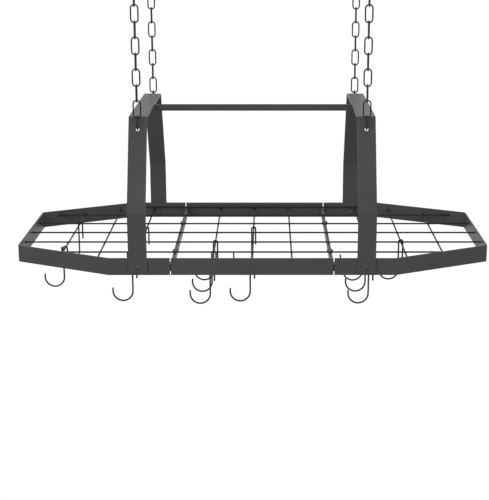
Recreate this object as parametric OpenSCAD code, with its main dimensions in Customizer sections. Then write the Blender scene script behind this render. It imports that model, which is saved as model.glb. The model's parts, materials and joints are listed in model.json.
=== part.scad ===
// Hanging pot rack: an eight-sided shelf of flat steel band with a welded wire grid, hung from
// two bent flat-bar brackets on four link chains and four ceiling hooks, with S-hooks on its wires.
// Origin: centre of the four ceiling hooks, on the ceiling plane. +Z up, front of the rack at -Y.

/* [Shelf frame] */
// Overall length of the shelf
shelf_l = 840; // [700:1:1000]
// Overall width of the shelf, front to back
shelf_w = 425; // [380:1:520]
// Height of the flat band round the shelf
band_h = 30; // [24:1:45]
// Thickness of the flat band
band_t = 3; // [2:0.5:4]
// Length of the straight front, from bend to bend
front_l = 496; // [440:1:560]
// Length of each straight side, from bend to bend
side_l = 250; // [180:1:320]
// Radius of the bends in the band, to its middle
band_bend_r = 4.5; // [3:0.5:15]
// Length of the centre section's rails
centre_l = 280.4; // [240:0.2:310]
// How far a centre rail reaches past the joint between the two bars of its seam
rail_past = 1.6; // [1:0.1:4]
// Open seam between a centre rail and an end rail
seam_gap = 1.6; // [0.6:0.2:3]

/* [Wire grid] */
// Diameter of the grid wires
wire_d = 3; // [2.4:0.2:4]
// Depth of the long wires' centres below the top of the band
grid_drop = 9; // [6:0.5:12]
// Cells across the width
rows = 6; // [6:2:8]
// Pitch of the cross wires in the end sections
end_cell = 67; // [60:0.5:72]
// Cross wires in each end section
end_wires = 3; // [3:1:4]
// Height of the flat bars under the grid
bar_h = 12; // [8:1:16]
// Thickness of the flat bars under the grid
bar_t = 2.5; // [2:0.5:4]
// Height of the tabs behind the seams
tab_h = 9; // [6:1:12]
// Thickness of the tabs
tab_t = 2; // [1.5:0.5:3]
// How far a tab reaches past each side of its seam
tab_reach = 21; // [12:1:30]
// Height of a tab's lower edge over the band's lower edge
tab_foot = 6; // [3:0.5:9]

/* [Brackets] */
// Distance from the centre of the rack to the middle of each bracket
bracket_x = 197; // [170:1:215]
// Width of the bracket's flat bar
leg_w = 32; // [24:1:40]
// Thickness of the bracket's flat bar
leg_t = 3; // [2.5:0.5:5]
// Height of the bracket's top over the band
rise = 234.5; // [180:0.5:320]
// Height of the bend in each leg over the band
knee_h = 80; // [40:1:120]
// Length of the bracket's flat top, corner to corner, to the middle of the bar
top_l = 284; // [200:1:340]
// How far a leg laps down over the band
leg_lap = 26; // [20:1:30]
// Radius of the bends in the bracket, to its middle
leg_bend_r = 4; // [3:0.5:10]
// Height of the flat bar between the brackets
crossbar_h = 12; // [8:1:20]
// Thickness of the flat bar between the brackets
crossbar_t = 3; // [2:0.5:6]

/* [Bolts] */
// Height of the bracket bolts over the lower end of the legs
bolt_foot = 8; // [7:0.5:12]
// Thread diameter of the bracket bolts
bolt_d = 6; // [5:1:8]
// Head diameter of the bracket bolts
bolt_head_d = 11; // [9:0.5:14]
// Head height of the bracket bolts
bolt_head_h = 2.6; // [2:0.1:4]
// Width across the flats of the bracket nuts
nut_af = 10; // [8:0.5:13]
// Thickness of the bracket nuts
nut_h = 4.4; // [3:0.1:5]
// Thread diameter of the seam screws
screw_d = 4; // [3:0.5:5]
// Head diameter of the seam screws
screw_head_d = 7.5; // [6:0.5:9]
// Head height of the seam screws
screw_head_h = 2.4; // [1.6:0.2:4]
// Width across the flats of the seam nuts
screw_nut_af = 7; // [5.5:0.5:8]
// Thickness of the seam nuts
screw_nut_h = 3; // [2:0.2:4]
// How far a thread stands out of its nut
thread_out = 1; // [0.5:0.5:2]

/* [Chains and hooks] */
// Wire diameter of the chain links
link_d = 2.6; // [2:0.1:4]
// Outer width of a chain link
link_w = 15; // [13:0.5:20]
// Inner length of a chain link
link_l = 27.1; // [22:0.1:34]
// Links in each chain, an odd number
links = 9; // [5:2:17]
// Wire diameter of the ceiling hooks
eye_d = 4; // [3:0.5:5]
// Radius of the ceiling hook's loop, to the middle of its wire
eye_r = 9; // [7:0.5:14]
// Angle left open in the ceiling hook's loop
eye_open = 70; // [50:5:110]
// Neck of the ceiling hook, between its collar and its loop
eye_neck = 8; // [4:1:20]
// Diameter of the ceiling hook's collar
collar_d = 18; // [12:1:26]
// Thickness of the ceiling hook's collar
collar_t = 2.5; // [1.5:0.5:4]
// Diameter of the ceiling hook's wood screw
stud_d = 4.8; // [4:0.2:6]
// Length of the ceiling hook's wood screw
stud_l = 36; // [25:1:60]
// Diameter of the wood screw's blunt point
stud_tip_d = 1; // [0.5:0.1:2]
// Wire diameter of the connector hooks between chains and brackets
link_hook_d = 3; // [2.5:0.5:4]
// Radius of the connector hook's upper loop, to the middle of its wire
link_hook_top_r = 5; // [4:0.5:7]
// Radius of the connector hook's lower loop, to the middle of its wire
link_hook_low_r = 8.5; // [7:0.5:12]
// Straight length between the connector hook's two loops
link_hook_shank = 10.5; // [8:0.5:20]
// Radius of the chain hole in each leg
chain_hole_r = 3.25; // [3:0.25:5]
// Depth of the chain hole's centre below the bracket's top
chain_hole_drop = 21; // [18:0.5:30]

/* [S-hooks] */
// Wire diameter of the S-hooks
s_d = 3; // [2.5:0.5:4]
// Overall length of an S-hook
s_l = 78; // [65:1:110]
// Radius of the S-hook's upper arch, to the middle of its wire
s_top_r = 3.75; // [3.5:0.25:5]
// Radius of the S-hook's lower loop, to the middle of its wire
s_low_r = 17.5; // [12:0.5:20]
// Straight stretch at the tip of the lower loop
s_tip = 5; // [2:0.5:12]
// Length of the free end beside the shank, from the top of the hook
s_free = 36; // [20:1:45]

/* [Hidden] */
$fn = 32;

graphite = [0.29, 0.29, 0.30];
graphite_light = [0.36, 0.36, 0.37];
hook_grey = [0.22, 0.22, 0.23];

// Clearances
bearing_gap = 0.3;    // where one curved wire bears on another
fit_gap = 0.15;       // round the bolts, and beside a wire where a weld joins it to another or to a face
eps = 0.01;           // overlap of one shape with the next
through = 30;         // length of a cutter that passes right through a wall

// The places of the four chains: -1 or 1 for left or right, and for front or rear
LEFT = -1;
RIGHT = 1;
FRONT = -1;
REAR = 1;

// The cell that a seam screw sits in the middle of, counted from the middle of the shelf
SCREW_CELL = 2;

// Down the suspension, from the ceiling to the band
eye_z = -collar_t - eye_neck - 2 * eye_r;                  // middle of the wire that carries a chain
link_centre_l = link_l + link_d;                           // link length, to the middle of its wire
link_pitch = link_l - bearing_gap;
top_link_z = eye_z + (eye_d + link_d) / 2 + bearing_gap - link_centre_l / 2;
knuckle_z = top_link_z - link_centre_l / 2;                // where the top link carries the chain
last_link_z = top_link_z - (links - 1) * link_pitch;
chain_end_z = last_link_z - link_centre_l / 2;             // middle of the last link's lowest wire
link_hook_top = chain_end_z + (link_d + link_hook_d) / 2 + bearing_gap;
link_hook_low = link_hook_top - link_hook_top_r - link_hook_shank - link_hook_low_r;

// The sloping leg: its lean, and how the hole's upper edge sits on the connector hook's wire
lean = atan((shelf_w / 2 + leg_t / 2 - top_l / 2) / (rise - knee_h - leg_t / 2));
hole_edge_out = leg_t / 2 * cos(lean) + chain_hole_r * sin(lean);
hole_edge_up = chain_hole_r * cos(lean) - leg_t / 2 * sin(lean);
loop_inner_r = link_hook_low_r - link_hook_d / 2;
seat_up = hole_edge_up - link_hook_low_r + sqrt(pow(loop_inner_r, 2) - pow(hole_edge_out, 2))
    - bearing_gap;
chain_hole_z = link_hook_low - seat_up;
chain_hole_y = top_l / 2 + (chain_hole_drop - leg_t / 2) * tan(lean);
chain_y = chain_hole_y + link_hook_low_r - link_hook_top_r;
bracket_z = chain_hole_z + chain_hole_drop;                // top of the brackets
band_z = bracket_z - rise;                                 // top of the band
grid_z = band_z - grid_drop;                               // middle of the long wires
cross_z = grid_z - wire_d - fit_gap;                       // middle of the cross wires
bar_top = grid_z - wire_d / 2 - fit_gap;
knee_y = shelf_w / 2 + leg_t / 2;
bolt_z = band_z - leg_lap + bolt_foot;

// Across the shelf
inner_w = shelf_w - 2 * band_t;
cell = (inner_w - wire_d - 2 * fit_gap) / rows;
seam_x = centre_l / 2 + seam_gap / 2;
pair_x = centre_l / 2 - rail_past;                         // face where the two bars of a seam meet
tab_z = band_z - band_h + tab_foot;                        // lower edge of a tab
screw_y = (SCREW_CELL - 1 / 2) * cell;
screw_z = bar_top - bar_h / 2;

// The centre section has three cross wires, numbered -1, 0 and 1, and its bars take the places
// of numbers -2 and 2. The end sections' wires carry on from 3, outwards.
SEAM = 2;
function cross_x(k) = abs(k) < SEAM ? k * pair_x / SEAM : sign(k) * (pair_x + (abs(k) - SEAM) * end_cell);

// S-hook places: the number of the cross wire, and how many cells along it from the centre
S_HOOKS = [
    [-5, -1.46], [-5, 1.23], [-3, -2.7], [-3, 0.59], [-1, -2.93], [-1, -1.92], [-1, -0.87],
    [0, -2.73], [0, 0.59], [3, -2.9], [3, -1.89], [3, -0.9], [3, 0.43], [4, -0.79]
];

// ---- Outlines of bent flat bar ----

function unit(v) = v / norm(v);
function left_of(v) = [-v[1], v[0]];
function reversed(list) = [for (i = [len(list) - 1:-1:0]) list[i]];

// Points of the arc that rounds the corner b, between a and c, with radius r
function bend(a, b, c, r, steps = 6) =
    let (
        u = unit(a - b),
        v = unit(c - b),
        half = acos(u * v) / 2,
        centre = b + unit(u + v) * r / sin(half),
        p = b + u * r / tan(half) - centre,
        q = b + v * r / tan(half) - centre,
        start = atan2(p[1], p[0]),
        sweep = (atan2(q[1], q[0]) - start + 540) % 360 - 180
    )
    [for (i = [0:steps]) centre + r * [cos(start + sweep * i / steps), sin(start + sweep * i / steps)]];

function bent_path(corners, r) = [
    corners[0],
    for (i = [1:len(corners) - 2]) each bend(corners[i - 1], corners[i], corners[i + 1], r),
    corners[len(corners) - 1]
];

// The path moved sideways by d, to its left
function beside(path, d) = [
    for (i = [0:len(path) - 1])
        let (
            a = max(i, 1),
            b = min(i + 1, len(path) - 1),
            before = unit(path[a] - path[a - 1]),
            after = unit(path[b] - path[b - 1]),
            n = left_of(unit(before + after))
        )
        path[i] + n * d / (n * left_of(before))
];

module flat_bar(path, t) polygon(concat(beside(path, t / 2), reversed(beside(path, -t / 2))));

// ---- Round wire ----

module wire_arc(r, d, start, sweep)
    rotate([0, 0, start]) rotate_extrude(angle = sweep) translate([r, 0]) circle(d = d);

// A straight wire that hangs down from the point given, in the plane of the sketch
module wire_down(x, y, length, d) translate([x, y, 0]) rotate([90, 0, 0]) cylinder(d = d, h = length);

module wire_tip(x, y, d) translate([x, y, 0]) sphere(d = d);

// ---- Shelf ----

function end_path(side) = bent_path([
    [side * (seam_x + seam_gap / 2), FRONT * (shelf_w - band_t) / 2],
    [side * front_l / 2, FRONT * (shelf_w - band_t) / 2],
    [side * (shelf_l - band_t) / 2, FRONT * side_l / 2],
    [side * (shelf_l - band_t) / 2, REAR * side_l / 2],
    [side * front_l / 2, REAR * (shelf_w - band_t) / 2],
    [side * (seam_x + seam_gap / 2), REAR * (shelf_w - band_t) / 2]
], band_bend_r);

module bolt_row(d, sides = [LEFT, RIGHT])
    for (x = sides, y = [FRONT, REAR])
        translate([x * bracket_x, y * shelf_w / 2, bolt_z]) rotate([-90, 0, 0])
            cylinder(d = d + 2 * fit_gap, h = through, center = true);

module end_rail(side)
    color(graphite) difference() {
        translate([0, 0, band_z - band_h]) linear_extrude(band_h) flat_bar(end_path(side), band_t);
        bolt_row(bolt_d, [side]);
    }

module centre_rail(end)
    color(graphite) translate([-centre_l / 2, end > 0 ? shelf_w / 2 - band_t : -shelf_w / 2, band_z - band_h])
        cube([centre_l, band_t, band_h]);

// Holes for the screws that clamp the two bars of each seam
module seam_holes()
    for (x = [LEFT, RIGHT], y = [FRONT, REAR])
        translate([x * pair_x, y * screw_y, screw_z]) rotate([0, 90, 0])
            cylinder(d = screw_d + 2 * fit_gap, h = through, center = true);

// The bar of an end section: its ends are welded to the tabs
module end_bar(side)
    color(graphite) difference() {
        translate([side * (pair_x + fit_gap / 2 + bar_t / 2), 0, bar_top - bar_h / 2])
            cube([bar_t, inner_w - 2 * tab_t, bar_h], center = true);
        seam_holes();
    }

// The bar of the centre section reaches the rails, with its ends notched over the tabs
module centre_bar(side)
    color(graphite) difference() {
        translate([side * (pair_x - fit_gap / 2 - bar_t / 2), 0, bar_top - bar_h / 2])
            cube([bar_t, inner_w, bar_h], center = true);
        seam_holes();
        for (end = [FRONT, REAR])
            translate([side * pair_x, end * inner_w / 2, tab_z + tab_h + bearing_gap - band_h / 2])
                cube([through, 2 * (tab_t + bearing_gap), band_h], center = true);
    }

module seam_tabs(side)
    color(graphite) for (end = [FRONT, REAR])
        translate([side * seam_x, end * (inner_w - tab_t) / 2, tab_z + tab_h / 2])
            cube([2 * tab_reach, tab_t, tab_h], center = true);

// The space inside the band, where the grid's wires end
module inside_band()
    translate([0, 0, band_z - band_h]) linear_extrude(band_h)
        polygon(concat(beside(end_path(LEFT), -band_t / 2), reversed(beside(end_path(RIGHT), band_t / 2))));

module long_wires(from, to)
    for (row = [-rows / 2:rows / 2])
        translate([from, row * cell, grid_z]) rotate([0, 90, 0]) cylinder(d = wire_d, h = to - from);

module cross_wire(k)
    translate([cross_x(k), 0, cross_z]) rotate([90, 0, 0]) cylinder(d = wire_d, h = inner_w, center = true);

module centre_grid()
    color(graphite_light) {
        long_wires(-pair_x + fit_gap / 2, pair_x - fit_gap / 2);
        for (k = [1 - SEAM:SEAM - 1]) cross_wire(k);
    }

module end_grid(side)
    color(graphite_light) intersection() {
        inside_band();
        union() {
            inner = pair_x + fit_gap / 2;
            outer = shelf_l / 2;
            long_wires(side > 0 ? inner : -outer, side > 0 ? outer : -inner);
            for (k = [1:end_wires]) cross_wire(side * (SEAM + k));
        }
    }

// ---- Fasteners ----

// A low round head, flat underneath, that rises along +Z: a cap cut from a ball of radius r
module round_head(d, h)
    intersection() {
        r = (pow(d / 2, 2) + pow(h, 2)) / (2 * h);
        cylinder(d = d, h = h);
        translate([0, 0, h - r]) sphere(r = r);
    }

module hex_nut(af, h, bore)
    difference() {
        cylinder(d = af / cos(30), h = h, $fn = 6);
        translate([0, 0, -eps]) cylinder(d = bore, h = h + 2 * eps, $fn = 32);
    }

// A round-headed screw with its head on z = 0, that clamps the thickness given with its nut
module screw(d, head_d, head_h, clamped, nut_t) {
    below = clamped + nut_t + thread_out;
    round_head(head_d, head_h);
    translate([0, 0, -below]) cylinder(d = d, h = below + eps);
}

module seam_screws()
    color(hook_grey) for (x = [LEFT, RIGHT], y = [FRONT, REAR])
        translate([x * (pair_x - fit_gap / 2 - bar_t), y * screw_y, screw_z]) rotate([0, -x * 90, 0])
            screw(screw_d, screw_head_d, screw_head_h, 2 * bar_t + fit_gap, screw_nut_h);

module seam_nuts()
    color(hook_grey) for (x = [LEFT, RIGHT], y = [FRONT, REAR])
        translate([x * (pair_x + fit_gap / 2 + bar_t), y * screw_y, screw_z]) rotate([0, x * 90, 0])
            hex_nut(screw_nut_af, screw_nut_h, screw_d + fit_gap);

module bracket_bolts()
    color(hook_grey) for (x = [LEFT, RIGHT], y = [FRONT, REAR])
        translate([x * bracket_x, y * (shelf_w / 2 + leg_t), bolt_z]) rotate([-y * 90, 0, 0])
            screw(bolt_d, bolt_head_d, bolt_head_h, leg_t + band_t, nut_h);

module bracket_nuts()
    color(hook_grey) for (x = [LEFT, RIGHT], y = [FRONT, REAR])
        translate([x * bracket_x, y * (shelf_w / 2 - band_t), bolt_z]) rotate([y * 90, 0, 0])
            hex_nut(nut_af, nut_h, bolt_d + fit_gap);

// ---- Brackets and crossbar ----

bracket_path = bent_path([
    [-knee_y, band_z - leg_lap], [-knee_y, band_z + knee_h], [-top_l / 2, bracket_z - leg_t / 2],
    [top_l / 2, bracket_z - leg_t / 2], [knee_y, band_z + knee_h], [knee_y, band_z - leg_lap]
], leg_bend_r);

module bracket(side)
    color(graphite) difference() {
        translate([side * bracket_x - leg_w / 2, 0, 0]) rotate([90, 0, 90])
            linear_extrude(leg_w) flat_bar(bracket_path, leg_t);
        bolt_row(bolt_d, [side]);
        for (end = [FRONT, REAR])
            translate([side * bracket_x, end * chain_hole_y, chain_hole_z]) rotate([-end * (90 - lean), 0, 0])
                cylinder(r = chain_hole_r, h = through, center = true);
    }

module crossbar()
    color(graphite) translate([0, 0, bracket_z - crossbar_h / 2])
        cube([2 * bracket_x - leg_w, crossbar_t, crossbar_h], center = true);

// ---- Suspension: each piece is drawn in its own plane, with the chain's line as its Z axis ----

module at_chain(side, end) translate([side * bracket_x, end * chain_y, 0]) children();

// A sketch in the XY plane stood up in the XZ plane, or in the YZ plane with +X pointing outwards
module across() rotate([90, 0, 0]) children();
module outwards(end) rotate([90, 0, end * 90]) children();

module ceiling_hook(side, end)
    color(hook_grey) at_chain(side, end) {
        translate([0, 0, -collar_t]) cylinder(d = collar_d, h = collar_t);
        cylinder(d = stud_d, h = stud_l - stud_d);
        translate([0, 0, stud_l - stud_d]) cylinder(d1 = stud_d, d2 = stud_tip_d, h = stud_d);
        outwards(end) {
            wire_down(0, -collar_t + eps, eye_neck + eps, eye_d);
            translate([0, eye_z + eye_r, 0]) {
                wire_arc(eye_r, eye_d, 90 + eye_open, 360 - eye_open);
                rotate(90 + eye_open) wire_tip(eye_r, 0, eye_d);
            }
        }
    }

// One link round the point z, its flat side facing the front or, turned, the side of the rack
module chain_link(z, turned)
    translate([0, 0, z]) rotate([90, 0, turned ? 90 : 0]) {
        r = (link_w - link_d) / 2;
        straight = link_centre_l - 2 * r;
        translate([0, straight / 2, 0]) wire_arc(r, link_d, 0, 180);
        translate([0, -straight / 2, 0]) wire_arc(r, link_d, 180, 180);
        for (x = [-r, r]) wire_down(x, straight / 2, straight, link_d);
    }

module top_link(side, end)
    color(graphite_light) at_chain(side, end) chain_link(top_link_z, false);

module chain(side, end)
    color(graphite_light) at_chain(side, end)
        for (i = [1:links - 1]) chain_link(top_link_z - i * link_pitch, i % 2 == 1);

// The open hook that joins the last link to the hole in the leg, with its shank outside the leg
module link_hook(side, end)
    color(hook_grey) at_chain(side, end) outwards(end) {
        top_y = link_hook_top - link_hook_top_r;
        low_y = top_y - link_hook_shank;
        low_x = link_hook_top_r - link_hook_low_r;
        translate([0, top_y, 0]) wire_arc(link_hook_top_r, link_hook_d, 0, 180);
        wire_tip(-link_hook_top_r, top_y, link_hook_d);
        wire_down(link_hook_top_r, top_y, link_hook_shank, link_hook_d);
        translate([low_x, low_y, 0]) wire_arc(link_hook_low_r, link_hook_d, 180, 180);
        wire_tip(low_x - link_hook_low_r, low_y, link_hook_d);
    }

// ---- S-hooks ----

module s_hook(i)
    color(hook_grey) translate([cross_x(S_HOOKS[i - 1][0]), S_HOOKS[i - 1][1] * cell, cross_z]) across() {
        top_y = (wire_d + s_d) / 2 + bearing_gap - s_top_r;
        crown = top_y + s_top_r + s_d / 2;
        low_y = crown - s_l + s_low_r + s_d / 2;
        free_y = crown - s_free + s_d / 2;
        tip_x = -s_top_r - 2 * s_low_r;
        translate([0, top_y, 0]) wire_arc(s_top_r, s_d, 0, 180);
        wire_down(s_top_r, top_y, top_y - free_y, s_d);
        wire_tip(s_top_r, free_y, s_d);
        wire_down(-s_top_r, top_y, top_y - low_y, s_d);
        translate([-s_top_r - s_low_r, low_y, 0]) wire_arc(s_low_r, s_d, 180, 180);
        wire_down(tip_x, low_y + s_tip, s_tip, s_d);
        wire_tip(tip_x, low_y + s_tip, s_d);
    }

end_rail(LEFT);  // left_end_rail
end_rail(RIGHT);  // right_end_rail
centre_rail(FRONT);  // front_centre_rail
centre_rail(REAR);  // rear_centre_rail
end_bar(LEFT);  // left_end_bar
end_bar(RIGHT);  // right_end_bar
centre_bar(LEFT);  // left_centre_bar
centre_bar(RIGHT);  // right_centre_bar
seam_tabs(LEFT);  // left_seam_tabs
seam_tabs(RIGHT);  // right_seam_tabs
end_grid(LEFT);  // left_grid
centre_grid();
end_grid(RIGHT);  // right_grid
seam_screws();
seam_nuts();
bracket(LEFT);  // left_bracket
bracket(RIGHT);  // right_bracket
crossbar();
bracket_bolts();
bracket_nuts();
ceiling_hook(LEFT, FRONT);  // ceiling_hook_front_left
ceiling_hook(RIGHT, FRONT);  // ceiling_hook_front_right
ceiling_hook(LEFT, REAR);  // ceiling_hook_rear_left
ceiling_hook(RIGHT, REAR);  // ceiling_hook_rear_right
top_link(LEFT, FRONT);  // top_link_front_left
top_link(RIGHT, FRONT);  // top_link_front_right
top_link(LEFT, REAR);  // top_link_rear_left
top_link(RIGHT, REAR);  // top_link_rear_right
chain(LEFT, FRONT);  // chain_front_left
chain(RIGHT, FRONT);  // chain_front_right
chain(LEFT, REAR);  // chain_rear_left
chain(RIGHT, REAR);  // chain_rear_right
link_hook(LEFT, FRONT);  // link_hook_front_left
link_hook(RIGHT, FRONT);  // link_hook_front_right
link_hook(LEFT, REAR);  // link_hook_rear_left
link_hook(RIGHT, REAR);  // link_hook_rear_right
s_hook(1);  // s_hook_1
s_hook(2);  // s_hook_2
s_hook(3);  // s_hook_3
s_hook(4);  // s_hook_4
s_hook(5);  // s_hook_5
s_hook(6);  // s_hook_6
s_hook(7);  // s_hook_7
s_hook(8);  // s_hook_8
s_hook(9);  // s_hook_9
s_hook(10);  // s_hook_10
s_hook(11);  // s_hook_11
s_hook(12);  // s_hook_12
s_hook(13);  // s_hook_13
s_hook(14);  // s_hook_14
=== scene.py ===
"""A hanging pot rack in its finish: an eight-sided shelf of coated steel band with a welded wire grid,
two bent brackets, four chains with their hooks, and the S-hooks. Every piece is made again over the
part's own solids, with rounded edges, welds, threads and powder coat.

Metres, +Z up, the front at -Y, the ceiling at z = 0.
"""

import json
import math

import bmesh
import bpy
from mathutils import Matrix, Vector


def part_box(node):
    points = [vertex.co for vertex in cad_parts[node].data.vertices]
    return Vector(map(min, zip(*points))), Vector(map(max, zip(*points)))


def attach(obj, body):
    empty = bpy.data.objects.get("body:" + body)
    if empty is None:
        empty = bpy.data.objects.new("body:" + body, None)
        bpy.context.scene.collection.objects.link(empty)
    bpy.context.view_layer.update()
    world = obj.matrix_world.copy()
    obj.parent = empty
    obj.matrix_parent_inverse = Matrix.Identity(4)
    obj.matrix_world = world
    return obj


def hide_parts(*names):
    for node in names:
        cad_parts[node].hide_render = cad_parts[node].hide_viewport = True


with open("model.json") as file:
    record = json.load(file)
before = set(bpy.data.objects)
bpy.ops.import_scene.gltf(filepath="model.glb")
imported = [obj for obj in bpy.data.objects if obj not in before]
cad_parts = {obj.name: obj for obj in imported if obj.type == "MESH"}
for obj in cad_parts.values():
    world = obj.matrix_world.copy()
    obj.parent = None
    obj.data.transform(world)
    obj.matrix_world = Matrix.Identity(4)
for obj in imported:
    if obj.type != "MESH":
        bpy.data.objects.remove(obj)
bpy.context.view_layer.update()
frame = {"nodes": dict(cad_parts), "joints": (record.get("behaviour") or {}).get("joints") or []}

MM = 0.001
X, Y, Z = Vector((1, 0, 0)), Vector((0, 1, 0)), Vector((0, 0, 1))
FRONT, REAR = -1, 1

# The four chains, and which way along Y leads outwards from the middle there
CORNERS = {"front_left": FRONT, "front_right": FRONT, "rear_left": REAR, "rear_right": REAR}

# Sizes that the solids share with the part's source
SHELF_WIRE = 3 * MM
CHAIN_WIRE = 2.6 * MM
LINK_W, LINK_L, LINK_PITCH = 15 * MM, 32.3 * MM, 26.8 * MM
LINKS = 9
EYE_WIRE, EYE_R, EYE_OPEN, EYE_BEND_R = 4 * MM, 9 * MM, 70, 3 * MM
COLLAR_D, COLLAR_T = 18 * MM, 2.5 * MM
STUD_D, STUD_L = 4.8 * MM, 36 * MM
JOIN_WIRE, JOIN_TOP_R, JOIN_LOW_R, JOIN_SHANK = 3 * MM, 5 * MM, 8.5 * MM, 10.5 * MM
S_WIRE, S_LENGTH, S_TOP_R, S_LOW_R = 3 * MM, 78 * MM, 3.75 * MM, 17.5 * MM
S_TIP, S_FREE = 5 * MM, 36 * MM
S_HOOKS = 14
BEARING_GAP = 0.3 * MM
FIT_GAP = 0.15 * MM
PLATE_T = 3 * MM
BOLT_D, BOLT_HEAD_D, BOLT_HEAD_H = 6 * MM, 11 * MM, 2.6 * MM
SCREW_D, SCREW_HEAD_D, SCREW_HEAD_H = 4 * MM, 7.5 * MM, 2.4 * MM
ROWS = 6

# Points closer than this are merged: in turned parts, in copies of the solids, and where a ring closes
TURNED_MERGE, SOLID_MERGE, RING_MERGE = 0.001 * MM, 0.002 * MM, 0.02 * MM

# In degrees: triangles that lean apart by less lie in one face, and an edge shows as sharp from this on
FLAT, CREASE = 0.5, 35

# The chamfer at the end of a cropped wire
CUT_TIP = 0.5 * MM

pivot = {joint["name"]: Vector(joint["pos_m"]) for joint in frame["joints"]}


# ---- Materials ----

class Value:
    """A value at some point of a material's nodes, so that a sum on it reads as a sum."""

    def __init__(self, coat, socket):
        self.coat = coat
        self.socket = socket

    def _sum(self, operation, first, second):
        return self.coat.node("ShaderNodeMath", {"operation": operation}, {0: first, 1: second})

    def __add__(self, other):
        return self._sum("ADD", self, other)

    def __radd__(self, other):
        return self._sum("ADD", other, self)

    def __sub__(self, other):
        return self._sum("SUBTRACT", self, other)

    def __rsub__(self, other):
        return self._sum("SUBTRACT", other, self)

    def __mul__(self, other):
        return self._sum("MULTIPLY", self, other)

    def __rmul__(self, other):
        return self._sum("MULTIPLY", other, self)


class Coat:
    """A material, or the light all round the rack, with the few moves that its nodes are laid with."""

    # A Mix node's sockets for the share and the two colours, and the one that gives their mix
    SHARE, FIRST, SECOND, MIXED = 0, 6, 7, 2

    def __init__(self, owner, shader="Principled BSDF"):
        self.owner = owner
        owner.use_nodes = True
        self.tree = owner.node_tree
        self.shader = self.tree.nodes[shader]

    def feed(self, socket, value):
        if isinstance(value, Value):
            self.tree.links.new(value.socket, socket)
        else:
            socket.default_value = value

    def node(self, kind, settings=None, inputs=None, out=0):
        made = self.tree.nodes.new(kind)
        for name, value in (settings or {}).items():
            setattr(made, name, value)
        for name, value in (inputs or {}).items():
            self.feed(made.inputs[name], value)
        return Value(self, made.outputs[out])

    def here(self):
        return self.node("ShaderNodeTexCoord", out="Object")

    def noise(self, size, detail=2.0, roughness=0.5):
        """Soft noise from 0 to 1, with lumps about the size given, in metres."""
        return self.node("ShaderNodeTexNoise", inputs={"Vector": self.here(), "Scale": 1 / size,
                                                       "Detail": detail, "Roughness": roughness})

    def mark(self, name):
        """A number that the mesh carries, such as 1 along its rounded edges."""
        return self.node("ShaderNodeAttribute", {"attribute_name": name}, out="Fac")

    def between(self, value, low, high):
        """The value stretched so that low becomes 0 and high becomes 1, without going past them."""
        return self.node("ShaderNodeMapRange", {"clamp": True},
                         {"Value": value, "From Min": low, "From Max": high})

    def mix(self, share, first, second):
        """The first colour, and the second one where share is 1."""
        return self.node("ShaderNodeMix", {"data_type": "RGBA"},
                         {self.SHARE: share, self.FIRST: first, self.SECOND: second}, out=self.MIXED)

    def seen(self):
        """1 for what is looked at, also in gloss or through glass, and 0 for the light that it sends out."""
        camera, glossy, through = (self.node("ShaderNodeLightPath", out=f"Is {kind} Ray")
                                   for kind in ("Camera", "Glossy", "Transmission"))
        return camera + glossy + through

    def bump(self, height, depth, onto=None):
        inputs = {"Height": height, "Distance": depth, "Strength": 1.0}
        if onto:
            inputs["Normal"] = onto
        return self.node("ShaderNodeBump", inputs=inputs)

    def finish(self, **inputs):
        for name, value in inputs.items():
            self.feed(self.shader.inputs[name.replace("_", " ")], value)
        return self.owner


def grey(level, warmth=0.0):
    """A grey as linear light, a little warmer or cooler than neutral."""
    return (level * (1 + warmth), level, level * (1 - warmth), 1)


def powder_coat(name, level, roughness, grain, gloss):
    """Baked powder paint: a fine grain on a soft orange peel, thinner and rubbed lighter along the edges."""
    coat = Coat(bpy.data.materials.new(name))
    cloud = coat.noise(60 * MM)
    speck = coat.noise(1.1 * MM, detail=1)
    rubbed = coat.between(coat.mark("edge") * coat.noise(5 * MM, detail=4), 0.34, 0.72)
    shade = coat.mix(coat.between(cloud, 0.3, 0.7), grey(level * 0.93, -0.015), grey(level * 1.07, 0.015))
    shade = coat.mix(coat.between(speck, 0.55, 0.75) * 0.32, shade, grey(level * 1.6))
    shade = coat.mix(coat.between(speck, 0.45, 0.25) * 0.3, shade, grey(level * 0.7))
    shade = coat.mix(rubbed * 0.75, shade, grey(level * 2.3, 0.01))
    peel = coat.bump(coat.noise(2.6 * MM, detail=1), 0.10 * MM * grain)
    fine = coat.bump(coat.noise(0.7 * MM, detail=2), 0.05 * MM * grain, onto=peel)
    return coat.finish(Base_Color=shade, Normal=fine, Specular_IOR_Level=gloss,
                       Roughness=roughness + 0.10 * (cloud - 0.5) + 0.12 * (speck - 0.5) - 0.12 * rubbed)


def dipped_wire(name, level, roughness, gloss):
    """The smoother coat on bent wire, rubbed bright where wire bears on wire and at the cut ends."""
    coat = Coat(bpy.data.materials.new(name))
    cloud = coat.noise(14 * MM, detail=3)
    rubbed = coat.between(coat.mark("edge") * coat.noise(1.6 * MM, detail=3), 0.30, 0.62)
    shade = coat.mix(coat.between(cloud, 0.3, 0.7), grey(level * 0.9, -0.01), grey(level * 1.1, 0.01))
    shade = coat.mix(rubbed * 0.7, shade, grey(level * 4, 0.01))
    drawn = coat.bump(coat.noise(0.5 * MM, detail=2), 0.04 * MM)
    return coat.finish(Base_Color=shade, Normal=drawn, Specular_IOR_Level=gloss,
                       Roughness=roughness + 0.14 * (cloud - 0.5) - 0.1 * rubbed)


BARE_STEEL = 0.28


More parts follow.
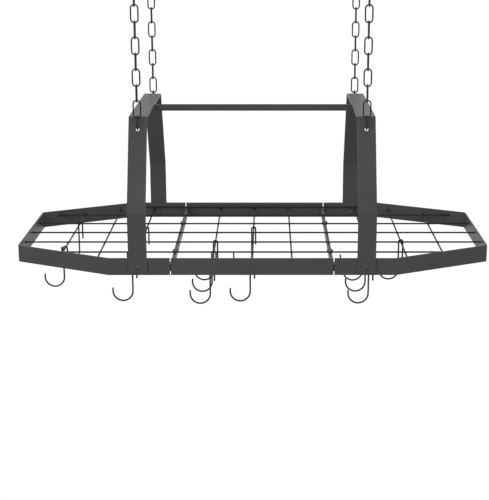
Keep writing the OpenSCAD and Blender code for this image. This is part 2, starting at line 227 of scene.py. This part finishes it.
def blackened_steel(name, level, roughness):
    """Oiled black oxide on the bolts, nuts and screws: thin enough for the steel to show on corners."""
    coat = Coat(bpy.data.materials.new(name))
    blotch = coat.noise(3 * MM, detail=4)
    bare = coat.between(coat.mark("edge") * blotch, 0.28, 0.6)
    shade = coat.mix(coat.between(blotch, 0.3, 0.7), grey(level * 0.85), grey(level * 1.15, 0.02))
    shade = coat.mix(bare * 0.6, shade, grey(BARE_STEEL, 0.02))
    return coat.finish(Base_Color=shade, Metallic=0.35 + 0.5 * bare,
                       Roughness=roughness + 0.12 * (blotch - 0.5) - 0.08 * bare,
                       Normal=coat.bump(coat.noise(0.4 * MM, detail=2), 0.015 * MM))


COATS = {
    "frame_coat": powder_coat("graphite_powder_coat", level=0.068, roughness=0.36, grain=1.0, gloss=0.06),
    # The grid, chain and hook coats are the frame's one graphite paint with painted shade: their much lower
    # levels paint the shade that falls on thin wire into its colour
    "grid_coat": powder_coat("graphite_on_grid_darkened_as_painted_shade", level=0.018, roughness=0.40, grain=0.7, gloss=0.1),
    "chain_coat": dipped_wire("graphite_on_chain_darkened_as_painted_shade", level=0.016, roughness=0.34, gloss=0.2),
    "hook_coat": dipped_wire("graphite_on_hooks_darkened_as_painted_shade", level=0.014, roughness=0.32, gloss=0.22),
    "fastener_coat": blackened_steel("blackened_fasteners", level=0.044, roughness=0.42),
}


# ---- Making and finishing pieces ----

def new_work():
    """An empty mesh to work on, whose points can be marked where an edge wears."""
    work = bmesh.new()
    work.verts.layers.float.new("edge")
    return work


def edge_mark(work):
    return work.verts.layers.float["edge"]


def add_part(work, part, place=None):
    """Puts a finished bmesh into the work, at its place, and lets go of it."""
    mesh = bpy.data.meshes.new("part")
    part.to_mesh(mesh)
    part.free()
    if place:
        mesh.transform(place)
    work.from_mesh(mesh)
    bpy.data.meshes.remove(mesh)


def piece(name, work, body, slot, stands_for=()):
    """Turns the work into a piece of the rack: smooth but for its creases, coated, and riding on its body."""
    bmesh.ops.recalc_face_normals(work, faces=work.faces)
    for face in work.faces:
        face.smooth = True
    for edge in work.edges:
        edge.smooth = edge.calc_face_angle(math.pi) < math.radians(CREASE)
    mesh = bpy.data.meshes.new(name)
    work.to_mesh(mesh)
    work.free()
    made = bpy.data.objects.new(name, mesh)
    bpy.context.scene.collection.objects.link(made)
    weighted = made.modifiers.new("flat faces stay flat", "WEIGHTED_NORMAL")
    weighted.keep_sharp = True
    made.data.materials.append(COATS[slot])
    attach(made, body)
    if stands_for:
        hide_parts(*stands_for)
    return made


def softened(node, radius, segments=3, sharp=40):
    """A copy of a node's solid with its sharp edges rounded, and marked for wear."""
    work = new_work()
    work.from_mesh(frame["nodes"][node].data)
    bmesh.ops.remove_doubles(work, verts=work.verts, dist=SOLID_MERGE)
    bmesh.ops.dissolve_limit(work, angle_limit=math.radians(FLAT), verts=work.verts, edges=work.edges)
    edges = [edge for edge in work.edges if edge.calc_face_angle(0) > math.radians(sharp)]
    rounded = bmesh.ops.bevel(work, geom=edges, offset=radius, offset_type="OFFSET", affect="EDGES",
                              segments=segments, profile=0.5, material=-1, clamp_overlap=True)
    mark = edge_mark(work)
    new = set(rounded["faces"])
    for vert in rounded["verts"]:
        if vert.is_valid:
            vert[mark] = 1.0 if all(face in new for face in vert.link_faces) else 0.35
    return work


# ---- Wire, bent step by step as on a jig ----

class Wire:
    """A round wire that grows from its start. Bends turn it in one plane, from `ahead` towards `side`."""

    # Degrees of a bend from one ring of points to the next
    STEP = 9

    def __init__(self, work, diameter, start, ahead, side, sides=18, swell=1.0, tip=None):
        self.work = work
        self.r = diameter / 2
        self.at = Vector(start)
        self.ahead = Vector(ahead).normalized()
        self.side = Vector(side).normalized()
        turned = self.ahead.to_track_quat("Z", "Y").to_matrix().to_4x4()
        radius = self.r * swell if tip is None else self.r - tip
        self.verts = bmesh.ops.create_circle(work, segments=sides, radius=radius,
                                             matrix=Matrix.Translation(self.at) @ turned)["verts"]
        self.edges = list({edge for vert in self.verts for edge in vert.link_edges})
        self.first = list(self.verts)
        if tip is not None:
            bmesh.ops.edgeloop_fill(work, edges=self.edges)
            self._worn(self.verts, 1.0)
            self.straight(tip, swell=self.r / radius)
            self._worn(self.verts, 0.6)

    def _worn(self, verts, amount):
        mark = edge_mark(self.work)
        for vert in verts:
            vert[mark] = amount

    def _grown(self, geometry):
        self.verts = [g for g in geometry if isinstance(g, bmesh.types.BMVert)]
        ends = set(self.verts)
        self.edges = [g for g in geometry if isinstance(g, bmesh.types.BMEdge) and set(g.verts) <= ends]
        self._worn(self.verts, 0.0)

    def straight(self, length, swell=1.0, steps=1):
        """Goes on straight, with its end this many times as thick as before."""
        for _ in range(steps):
            self._grown(bmesh.ops.extrude_edge_only(self.work, edges=self.edges)["geom"])
            bmesh.ops.translate(self.work, verts=self.verts, vec=self.ahead * length / steps)
            self.at += self.ahead * length / steps
        if swell != 1:
            bmesh.ops.scale(self.work, verts=self.verts, vec=(swell,) * 3, space=Matrix.Translation(-self.at))
        return self

    def bend(self, degrees, radius, worn=0.0):
        """Turns through the angle at the radius of the wire's middle. A minus sign bends it the other way."""
        way = math.copysign(1, degrees)
        centre = self.at + way * radius * self.side
        axis = self.ahead.cross(self.side)
        turn = Matrix.Rotation(math.radians(degrees), 3, axis)
        before = set(self.work.verts)
        spun = bmesh.ops.spin(self.work, geom=self.verts + self.edges, cent=centre, axis=axis, dvec=(0, 0, 0),
                              angle=math.radians(degrees), steps=max(2, round(abs(degrees) / self.STEP)))
        self._grown(spun["geom_last"])
        if worn:
            mark = edge_mark(self.work)
            inner = radius - self.r / 2
            for vert in set(self.work.verts) - before - set(self.verts):
                vert[mark] = worn if (vert.co - centre).length < inner else 0.0
        self.at = centre + turn @ (self.at - centre)
        self.ahead = turn @ self.ahead
        self.side = turn @ self.side
        return self

    def cut(self, tip=CUT_TIP):
        """Ends with the small chamfer of a cropped and tumbled wire."""
        self.straight(tip, swell=(self.r - tip) / self.r)
        self._worn(self.verts, 1.0)
        bmesh.ops.edgeloop_fill(self.work, edges=self.edges)

    def round_off(self, rings=4):
        """Ends in a half ball."""
        done = 0.0
        for ring in range(1, rings):
            angle = math.pi / 2 * ring / rings
            rise = self.r * math.sin(angle)
            before = self.r * math.cos(math.pi / 2 * (ring - 1) / rings)
            self.straight(rise - done, swell=self.r * math.cos(angle) / before)
            done = rise
        bmesh.ops.edgeloop_fill(self.work, edges=self.edges)

    def close(self):
        """Joins the end to the start, for a ring or a link."""
        bmesh.ops.remove_doubles(self.work, verts=self.first + self.verts, dist=RING_MERGE)


# ---- Turned and threaded parts ----

# How much of its radius a pointed screw keeps at the very tip, and a machine thread's depth in pitches
TIP_LEFT = 0.2
THREAD_DEPTH = 0.55

# A driver's cross recess: its reach and half the width of an arm, as shares of the head's diameter, the
# size of its floor as a share of its mouth, and its depth as a share of the head's height
CROSS_REACH, CROSS_HALF_ARM, CROSS_FLOOR, CROSS_DEPTH = 0.27, 0.075, 0.72, 0.62


def spun(profile, steps=32):
    """A turned part round the local Z axis, from its outline of radii and heights."""
    part = new_work()
    points = [part.verts.new((radius, 0, height)) for radius, height in profile]
    lines = [part.edges.new(pair) for pair in zip(points, points[1:])]
    bmesh.ops.spin(part, geom=points + lines, cent=(0, 0, 0), axis=(0, 0, 1), dvec=(0, 0, 0),
                   angle=math.tau, steps=steps, use_merge=True)
    bmesh.ops.remove_doubles(part, verts=part.verts, dist=TURNED_MERGE)
    return part


def threaded(crest_r, root_r, pitch, length, steps=20, point=0.0, land=0.12):
    """A screw thread up the local Z axis, from 0 to its length, drawn in to a point over the last part."""
    part = new_work()
    outline = [(root_r, 0), (root_r, 0.25), (crest_r, 0.5 - land / 2), (crest_r, 0.5 + land / 2),
               (root_r, 0.75), (root_r, 1)]
    points = [part.verts.new((radius, 0, (height - 1) * pitch)) for radius, height in outline]
    lines = [part.edges.new(pair) for pair in zip(points, points[1:])]
    turns = math.ceil(length / pitch) + 1
    bmesh.ops.spin(part, geom=points + lines, cent=(0, 0, 0), axis=(0, 0, 1), dvec=(0, 0, pitch / steps),
                   angle=math.tau * turns, steps=steps * turns)
    bmesh.ops.remove_doubles(part, verts=part.verts, dist=TURNED_MERGE)
    for height, way in ((0, -1), (length, 1)):
        whole = list(part.verts) + list(part.edges) + list(part.faces)
        bmesh.ops.bisect_plane(part, geom=whole, plane_co=(0, 0, height), plane_no=(0, 0, way),
                               clear_outer=True)
    bmesh.ops.remove_doubles(part, verts=part.verts, dist=TURNED_MERGE)
    bmesh.ops.holes_fill(part, edges=part.edges, sides=0)
    mark = edge_mark(part)
    for vert in part.verts:
        radius = math.hypot(vert.co.x, vert.co.y)
        vert[mark] = 0.8 if radius > (crest_r + root_r) / 2 else 0.0
        if point and vert.co.z > length - point:
            share = max((length - vert.co.z) / point, 0)
            vert.co.x *= TIP_LEFT + (1 - TIP_LEFT) * share
            vert.co.y *= TIP_LEFT + (1 - TIP_LEFT) * share
    return part


def cross_recess(angle, arm, half_width):
    """How far the outline of a cross-shaped driver recess lies from its middle, at this angle."""
    off = (angle + math.pi / 4) % (math.pi / 2) - math.pi / 4
    if abs(off) <= math.atan2(half_width, arm):
        return arm / math.cos(off)
    return half_width / math.sin(abs(off))


def domed_head(diameter, height, steps=32):
    """A low round head on z = 0, with a cross recess for the driver."""
    ball = ((diameter / 2) ** 2 + height ** 2) / (2 * height)
    rim, crown = diameter / 2, 0.34 * diameter
    skirt = 0.12 * height

    def rise(radius):
        return height - ball + math.sqrt(ball ** 2 - radius ** 2)

    radii = [rim - (rim - crown) * step / 5 for step in range(1, 6)]
    dome = [(radius, max(rise(radius), skirt)) for radius in radii]
    part = spun([(0, 0), (rim - 0.1 * MM, 0), (rim, skirt / 2)] + dome, steps)
    ring = [edge for edge in part.edges if edge.is_boundary]
    mouth, wall, floor = (1.0, 0.0), (1.0, 0.25), (CROSS_FLOOR, 1.0)
    for pull, drop in (mouth, wall, floor):
        grown = bmesh.ops.extrude_edge_only(part, edges=ring)["geom"]
        verts = [g for g in grown if isinstance(g, bmesh.types.BMVert)]
        ring = [g for g in grown if isinstance(g, bmesh.types.BMEdge) and set(g.verts) <= set(verts)]
        for vert in verts:
            angle = math.atan2(vert.co.y, vert.co.x)
            reach = cross_recess(angle, CROSS_REACH * diameter, CROSS_HALF_ARM * diameter) * pull
            vert.co = Vector((math.cos(angle), math.sin(angle), 0)) * reach
            vert.co.z = rise(reach) - drop * CROSS_DEPTH * height
    bmesh.ops.edgeloop_fill(part, edges=ring)
    return part


def facing(direction, seat):
    """The place of a part whose local Z axis points this way, with its local origin on the seat."""
    return Matrix.Translation(seat) @ Vector(direction).to_track_quat("Z", "Y").to_matrix().to_4x4()


def islands(node):
    """The boxes of a node's separate solids."""
    work = bmesh.new()
    work.from_mesh(frame["nodes"][node].data)
    bmesh.ops.remove_doubles(work, verts=work.verts, dist=SOLID_MERGE)
    waiting = set(work.verts)
    found = []
    while waiting:
        reach = [waiting.pop()]
        corners = [reach[0].co.copy(), reach[0].co.copy()]
        while reach:
            vert = reach.pop()
            corners[0] = Vector(map(min, corners[0], vert.co))
            corners[1] = Vector(map(max, corners[1], vert.co))
            for edge in vert.link_edges:
                other = edge.other_vert(vert)
                if other in waiting:
                    waiting.remove(other)
                    reach.append(other)
        found.append(tuple(corners))
    work.free()
    return found


def separate_screws(node, axis):
    """Each screw's box, and which way its head points along the axis: outwards on bolts, inwards at seams."""
    outwards = {"bracket_bolts": 1, "seam_screws": -1}[node]
    for low, high in islands(node):
        side = math.copysign(1, (low + high)[axis])
        yield low, high, side * outwards


def screws(node, name, diameter, head_d, head_h, pitch, axis):
    """The round-headed screws of one node, each where its solid is, heads the way the solids have them."""
    work = new_work()
    for low, high, out in separate_screws(node, axis):
        middle = (low + high) / 2
        head_end = high if out > 0 else low
        seat = middle.copy()
        seat[axis] = head_end[axis] - out * head_h
        length = (high - low)[axis] - head_h
        way = Vector((0, 0, 0))
        way[axis] = out
        add_part(work, domed_head(head_d, head_h), facing(way, seat))
        root_r = diameter / 2 - THREAD_DEPTH * pitch
        add_part(work, threaded(diameter / 2, root_r, pitch, length, land=0.2), facing(-way, seat))
    return piece(name, work, "rack", "fastener_coat", [node])


# ---- Welds ----

# How far a weld's drops lie apart, as a share of its width, and how unevenly they settle
DROP_STEP, DROP_UNEVEN = 0.42, 0.08

# Factors with no simple ratio between them, so that the sizes of the drops fall into no pattern
SHUFFLE_SEED, SHUFFLE_DROP = 12.9898, 78.233


def bead(work, start, end, width, seed=0):
    """A short weld between two points: a row of overlapping drops that settle a little unevenly."""
    start, end = Vector(start), Vector(end)
    drops = max(1, round((end - start).length / (DROP_STEP * width)))
    for drop in range(drops + 1):
        wobble = math.sin(SHUFFLE_SEED * (seed + 1) + SHUFFLE_DROP * drop)
        size = width / 2 * (1 + DROP_UNEVEN * wobble)
        place = Matrix.Translation(start.lerp(end, drop / drops))
        bmesh.ops.create_icosphere(work, subdivisions=2, radius=size, matrix=place)


def nugget(work, place, size):
    """The squeezed metal of a spot weld: a drop with these three widths, set at its place."""
    bmesh.ops.create_icosphere(work, subdivisions=2, radius=0.5, matrix=place @ Matrix.Diagonal((*size, 1)))


# ---- Shelf ----

EDGE_ROUND, BAR_ROUND, NUT_ROUND = 0.5 * MM, 0.4 * MM, 0.35 * MM

for rail in ("left_end_rail", "right_end_rail", "front_centre_rail", "rear_centre_rail"):
    piece(f"{rail}_coated", softened(rail, EDGE_ROUND), "rack", "frame_coat", [rail])
for bar in ("left_end_bar", "right_end_bar", "left_centre_bar", "right_centre_bar", "left_seam_tabs",
            "right_seam_tabs", "crossbar"):
    piece(f"{bar}_coated", softened(bar, BAR_ROUND), "rack", "frame_coat", [bar])
for bracket in ("left_bracket", "right_bracket"):
    piece(f"{bracket}_coated", softened(bracket, EDGE_ROUND), "rack", "frame_coat", [bracket])

_, grid_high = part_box("centre_grid")
LONG_Z = grid_high.z - SHELF_WIRE / 2
CROSS_Z = pivot["s_hook_1_swing"].z
BORDER = grid_high.y - SHELF_WIRE / 2 - FIT_GAP
CELL = 2 * BORDER / ROWS
INTO_WELD = 0.8 * MM
GRID_TIP = 0.35 * MM

# Widths of a weld at a wire's end (out of the wall, along it, and up) and of one where two wires cross
END_WELD = (2.4 * MM, 5.2 * MM, 4.8 * MM)
SPOT_WELD = (3.9 * MM, 3.9 * MM, 1.9 * MM)


def wire_ends(node, axis, at, z):
    """Where the two ends of a grid wire meet the walls: the middle of each cut, and how much it slants."""
    across, near = 1 - axis, SHELF_WIRE / 2 + 0.05 * MM
    points = [vert.co for vert in frame["nodes"][node].data.vertices
              if abs(vert.co[across] - at) < near and abs(vert.co.z - z) < near]
    for way in (-1, 1):
        tip = max(points, key=lambda point: way * point[axis])
        cut = [point for point in points if abs(point[axis] - tip[axis]) < 3 * SHELF_WIRE]
        heel = min(cut, key=lambda point: way * point[axis])
        slant = (tip[axis] - heel[axis]) / SHELF_WIRE * math.copysign(1, tip[across] - at)
        yield (tip[axis] + heel[axis]) / 2, slant


def end_weld(work, place, axis, slant):
    """The weld where a wire butts against a wall that may run at a slant."""
    wall = Y + slant * X if axis == 0 else X + slant * Y
    across, along, up = END_WELD
    turn = wall.to_track_quat("Y", "Z").to_matrix().to_4x4()
    nugget(work, Matrix.Translation(place) @ turn, (across, along * wall.length ** 0.5, up))


def grid_wire(work, node, axis, at, z, sunk):
    """One wire of a grid. An end against the band runs on into its weld, and one at a seam is cut free."""
    (low, low_slant), (high, high_slant) = wire_ends(node, axis, at, z)
    ahead = (X, Y)[axis]
    base = at * (Y, X)[axis] + z * Z
    if sunk[0]:
        end_weld(work, base + low * ahead, axis, low_slant)
        low -= INTO_WELD
    if sunk[1]:
        end_weld(work, base + high * ahead, axis, high_slant)
        high += INTO_WELD
    wire = Wire(work, SHELF_WIRE, base + low * ahead, ahead, (Y, X)[axis], tip=GRID_TIP)
    wire.straight(high - low - 2 * GRID_TIP).cut(GRID_TIP)


def grid(node):
    """The long wires over the cross wires, with a spot weld wherever two cross."""
    work = new_work()
    sunk = (node == "left_grid", node == "right_grid")
    rows = [row * CELL for row in range(-ROWS // 2, ROWS // 2 + 1)]
    for y in rows:
        grid_wire(work, node, 0, y, LONG_Z, sunk)
    for x in CROSS_X[node]:
        grid_wire(work, node, 1, x, CROSS_Z, (True, True))
        (start, _), (end, _) = wire_ends(node, 1, x, CROSS_Z)
        for y in rows:
            if start < y < end:
                nugget(work, Matrix.Translation((x, y, (LONG_Z + CROSS_Z) / 2)), SPOT_WELD)
    return piece(f"{node}_welded", work, "rack", "grid_coat", [node])


first_cross, last_cross = pivot["s_hook_10_swing"].x, pivot["s_hook_14_swing"].x
CROSS_X = {
    "centre_grid": [pivot["s_hook_5_swing"].x, pivot["s_hook_8_swing"].x, -pivot["s_hook_5_swing"].x],
    "right_grid": [first_cross + step * (last_cross - first_cross) for step in range(3)],
}
CROSS_X["left_grid"] = [-x for x in CROSS_X["right_grid"]]
for node in CROSS_X:
    grid(node)


# Widths of the welds, how far those of the bars stop short, and how much of a tab's length is welded
UNDER_WELD, SIDE_WELD, BAR_WELD = 2.4 * MM, 2.2 * MM, 1.8 * MM
BAR_WELD_INSET = 1.5 * MM
TAB_WELDED = 0.36


def frame_welds():
    """The welds that hold the crossbar, the bars and the tabs, each where the two solids meet."""
    work = new_work()
    low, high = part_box("crossbar")
    under = high.z - PLATE_T
    for x in (low.x, high.x):
        bead(work, (x, low.y, under), (x, high.y, under), UNDER_WELD, seed=3 + x)
        for y in (low.y, high.y):
            bead(work, (x, y, under), (x, y, high.z - SIDE_WELD / 2), SIDE_WELD, seed=x + y)
    for bar in ("left_end_bar", "right_end_bar", "left_centre_bar", "right_centre_bar"):
        low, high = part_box(bar)
        outer = low.x if ("end" in bar) == ("left" in bar) else high.x
        for y in (low.y, high.y):
            foot, head = low.z + BAR_WELD_INSET, high.z - BAR_WELD_INSET
            bead(work, (outer, y, foot), (outer, y, head), BAR_WELD, seed=y)
    for tabs in ("left_seam_tabs", "right_seam_tabs"):
        low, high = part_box(tabs)
        outer, inner = (low.x, high.x) if "left" in tabs else (high.x, low.x)
        for y in (low.y, high.y):
            for z in (low.z, high.z):
                bead(work, (outer, y, z), (outer + (inner - outer) * TAB_WELDED, y, z), BAR_WELD, seed=z)
    return piece("frame_welds", work, "rack", "frame_coat")


frame_welds()


# ---- Fasteners ----

screws("bracket_bolts", "bracket_bolts_finished", BOLT_D, BOLT_HEAD_D, BOLT_HEAD_H, pitch=1.0 * MM, axis=1)
screws("seam_screws", "seam_screws_finished", SCREW_D, SCREW_HEAD_D, SCREW_HEAD_H, pitch=0.7 * MM, axis=0)
for nuts in ("bracket_nuts", "seam_nuts"):
    piece(f"{nuts}_finished", softened(nuts, NUT_ROUND, sharp=50), "rack", "fastener_coat", [nuts])


# ---- Suspension ----

# The ceiling hooks' wood thread, how the neck sits in its collar, and the swelling at a link's weld
STUD_ROOT_R, STUD_PITCH, STUD_TAPER = 1.65 * MM, 2.4 * MM, 7 * MM
NECK_IN_COLLAR, NECK_TIP = 0.5 * MM, 0.05 * MM
LINK_WELD, LINK_SHOULDER, LINK_SWELL = 1.0 * MM, 0.5 * MM, 1.13


def ceiling_hook(corner):
    """A screw hook: a coarse wood thread, a turned collar and an open loop for the chain."""
    bearing = pivot[f"{corner}_side_sway"]
    top = Vector((bearing.x, bearing.y, 0))
    work = new_work()
    thread = threaded(STUD_D / 2, STUD_ROOT_R, STUD_PITCH, STUD_L, point=STUD_TAPER)
    add_part(work, thread, Matrix.Translation(top))
    r, t = COLLAR_D / 2, COLLAR_T
    collar = [(0, 0), (r - 0.2 * MM, 0), (r, -0.2 * MM), (r, -0.5 * t), (r - 0.5 * MM, -0.72 * t),
              (r - 2.6 * MM, -0.9 * t), (EYE_WIRE / 2 + 1.2 * MM, -t), (0, -t)]
    add_part(work, spun(collar, 40), Matrix.Translation(top))
    out = CORNERS[corner] * Y
    turn = math.asin(EYE_BEND_R / (EYE_R + EYE_BEND_R))
    loop_z = bearing.z + EYE_R
    bend_z = loop_z + (EYE_R + EYE_BEND_R) * math.cos(turn)
    wire = Wire(work, EYE_WIRE, top - Z * (t - NECK_IN_COLLAR), -Z, out, tip=NECK_TIP)
    wire.straight(-bend_z - t + NECK_IN_COLLAR - NECK_TIP).bend(90 - math.degrees(turn), EYE_BEND_R)
    wire.bend(-180, EYE_R, worn=0.7).bend(-(180 - EYE_OPEN - math.degrees(turn)), EYE_R).round_off()
    return piece(f"ceiling_hook_{corner}_finished", work, "ceiling", "hook_coat", [f"ceiling_hook_{corner}"])


def chain_link(work, middle, flat):
    """One link round its middle, a little swollen at its weld. `flat` is the direction across it."""
    bend_r = (LINK_W - CHAIN_WIRE) / 2
    straight = LINK_L - CHAIN_WIRE - 2 * bend_r
    plain = straight / 2 - LINK_WELD - LINK_SHOULDER
    start = Vector(middle) + bend_r * flat
    link = Wire(work, CHAIN_WIRE, start, Z, -flat, sides=16, swell=LINK_SWELL)
    link.straight(LINK_WELD).straight(LINK_SHOULDER, swell=1 / LINK_SWELL).straight(plain)
    link.bend(180, bend_r, worn=0.8).straight(straight, steps=2).bend(180, bend_r, worn=0.8)
    link.straight(plain).straight(LINK_SHOULDER, swell=LINK_SWELL).straight(LINK_WELD).close()


def chain(corner):
    """The first link swings on its ceiling hook, and the others hang from it, each turned from the last."""
    first = pivot[f"{corner}_side_sway"]
    knuckle = pivot[f"{corner}_front_sway"]
    middle = Vector((first.x, first.y, knuckle.z + (LINK_L - CHAIN_WIRE) / 2))
    work = new_work()
    chain_link(work, middle, X)
    piece(f"top_link_{corner}_finished", work, f"top_link_{corner}", "chain_coat", [f"top_link_{corner}"])
    work = new_work()
    for link in range(1, LINKS):
        chain_link(work, middle - Z * link * LINK_PITCH, Y if link % 2 else X)
    piece(f"chain_{corner}_finished", work, f"chain_{corner}", "chain_coat", [f"chain_{corner}"])


def connector(corner):
    """The open hook that hangs in the last link and carries the bracket by the hole in its leg."""
    node = f"link_hook_{corner}"
    _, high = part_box(node)
    place = pivot[f"{corner}_hook_tilt"]
    out = CORNERS[corner] * Y
    work = new_work()
    start = Vector((place.x, place.y, high.z - JOIN_WIRE / 2 - JOIN_TOP_R)) - out * JOIN_TOP_R
    hook = Wire(work, JOIN_WIRE, start - Z * JOIN_WIRE / 2, Z, out, tip=CUT_TIP)
    hook.straight(JOIN_WIRE / 2 - CUT_TIP).bend(180, JOIN_TOP_R, worn=0.8).straight(JOIN_SHANK)
    hook.bend(180, JOIN_LOW_R, worn=0.8).straight(JOIN_WIRE / 2 - CUT_TIP).cut()
    return piece(f"{node}_finished", work, node, "hook_coat", [node])


for corner in CORNERS:
    ceiling_hook(corner)
    chain(corner)
    connector(corner)


# ---- S-hooks ----

def s_hook(number):
    """A long-legged S-hook: it clips over a cross wire of the grid and opens to the left below."""
    node = f"s_hook_{number}"
    bearing = pivot[f"{node}_swing"]
    arch = bearing + Z * ((SHELF_WIRE + S_WIRE) / 2 + BEARING_GAP - S_TOP_R)
    crown = arch.z + S_TOP_R + S_WIRE / 2
    free_end = crown - S_FREE
    low_z = crown - S_LENGTH + S_LOW_R + S_WIRE / 2
    work = new_work()
    hook = Wire(work, S_WIRE, (bearing.x + S_TOP_R, bearing.y, free_end), Z, -X, tip=CUT_TIP)
    hook.straight(arch.z - free_end - CUT_TIP).bend(180, S_TOP_R, worn=0.8)
    hook.straight(arch.z - low_z).bend(-180, S_LOW_R, worn=0.5)
    hook.straight(S_TIP).round_off()
    return piece(f"{node}_finished", work, node, "hook_coat", [node])


for number in range(1, S_HOOKS + 1):
    s_hook(number)


# ---- Camera, light and floor ----

PHOTO_W, PHOTO_H = 489, 500
FOCAL_PX = 1220
AXIS_PX = 267.09
FILM_W = 36
CAMERA_AT = Vector((0.0258, -2.2321, 0.0647))
PITCH_DOWN = 0.2673
FLOOR_Z = -1.35
STUDIO_LIGHT = 0.94
FLOOR_GREY = 0.35
FLOOR_GLOW = 0.65
LIT_POINT = Vector((0, 0, -0.4))


def set_camera():
    camera = bpy.data.objects.new("camera", bpy.data.cameras.new("camera"))
    bpy.context.scene.collection.objects.link(camera)
    camera.location = CAMERA_AT
    camera.rotation_euler = (math.pi / 2 - PITCH_DOWN, 0, 0)
    camera.data.sensor_width = FILM_W
    camera.data.lens = FILM_W * FOCAL_PX / PHOTO_H
    camera.data.shift_x = -(AXIS_PX - PHOTO_W / 2) / PHOTO_H
    camera.data.clip_end = 50
    bpy.context.scene.camera = camera


def soft_light(name, at, width, power):
    """A square soft box that looks at the rack."""
    lamp = bpy.data.objects.new(name, bpy.data.lights.new(name, "AREA"))
    bpy.context.scene.collection.objects.link(lamp)
    lamp.location = at
    lamp.rotation_euler = (LIT_POINT - Vector(at)).to_track_quat("-Z", "Y").to_euler()
    lamp.data.shape = "SQUARE"
    lamp.data.size = width
    lamp.data.energy = power


def white_studio():
    """Even white light from all round. It looks a little brighter than the light that it sends out."""
    studio = Coat(bpy.data.worlds.new("studio"), "Background")
    white = studio.mix(studio.seen(), grey(STUDIO_LIGHT), grey(1))
    bpy.context.scene.world = studio.finish(Color=white, Strength=1)


def pale_floor():
    """A plain floor far below. It looks white, but throws back only some of the light from under the rack."""
    work = bmesh.new()
    bmesh.ops.create_grid(work, x_segments=1, y_segments=1, size=30,
                          matrix=Matrix.Translation((0, 0, FLOOR_Z)))
    mesh = bpy.data.meshes.new("floor")
    work.to_mesh(mesh)
    work.free()
    floor = bpy.data.objects.new("floor", mesh)
    bpy.context.scene.collection.objects.link(floor)
    paint = Coat(bpy.data.materials.new("floor_paint"))
    glow = paint.mix(paint.seen(), grey(0), grey(FLOOR_GLOW))
    floor.data.materials.append(paint.finish(Base_Color=grey(FLOOR_GREY), Roughness=0.9,
                                             Emission_Color=glow, Emission_Strength=1))


set_camera()
white_studio()
pale_floor()
soft_light("overhead", at=(-0.6, -0.4, 2.6), width=2.4, power=5)
soft_light("front", at=(-1.6, -3.2, 0.9), width=2.0, power=30)
bpy.context.scene.view_settings.view_transform = "Standard"
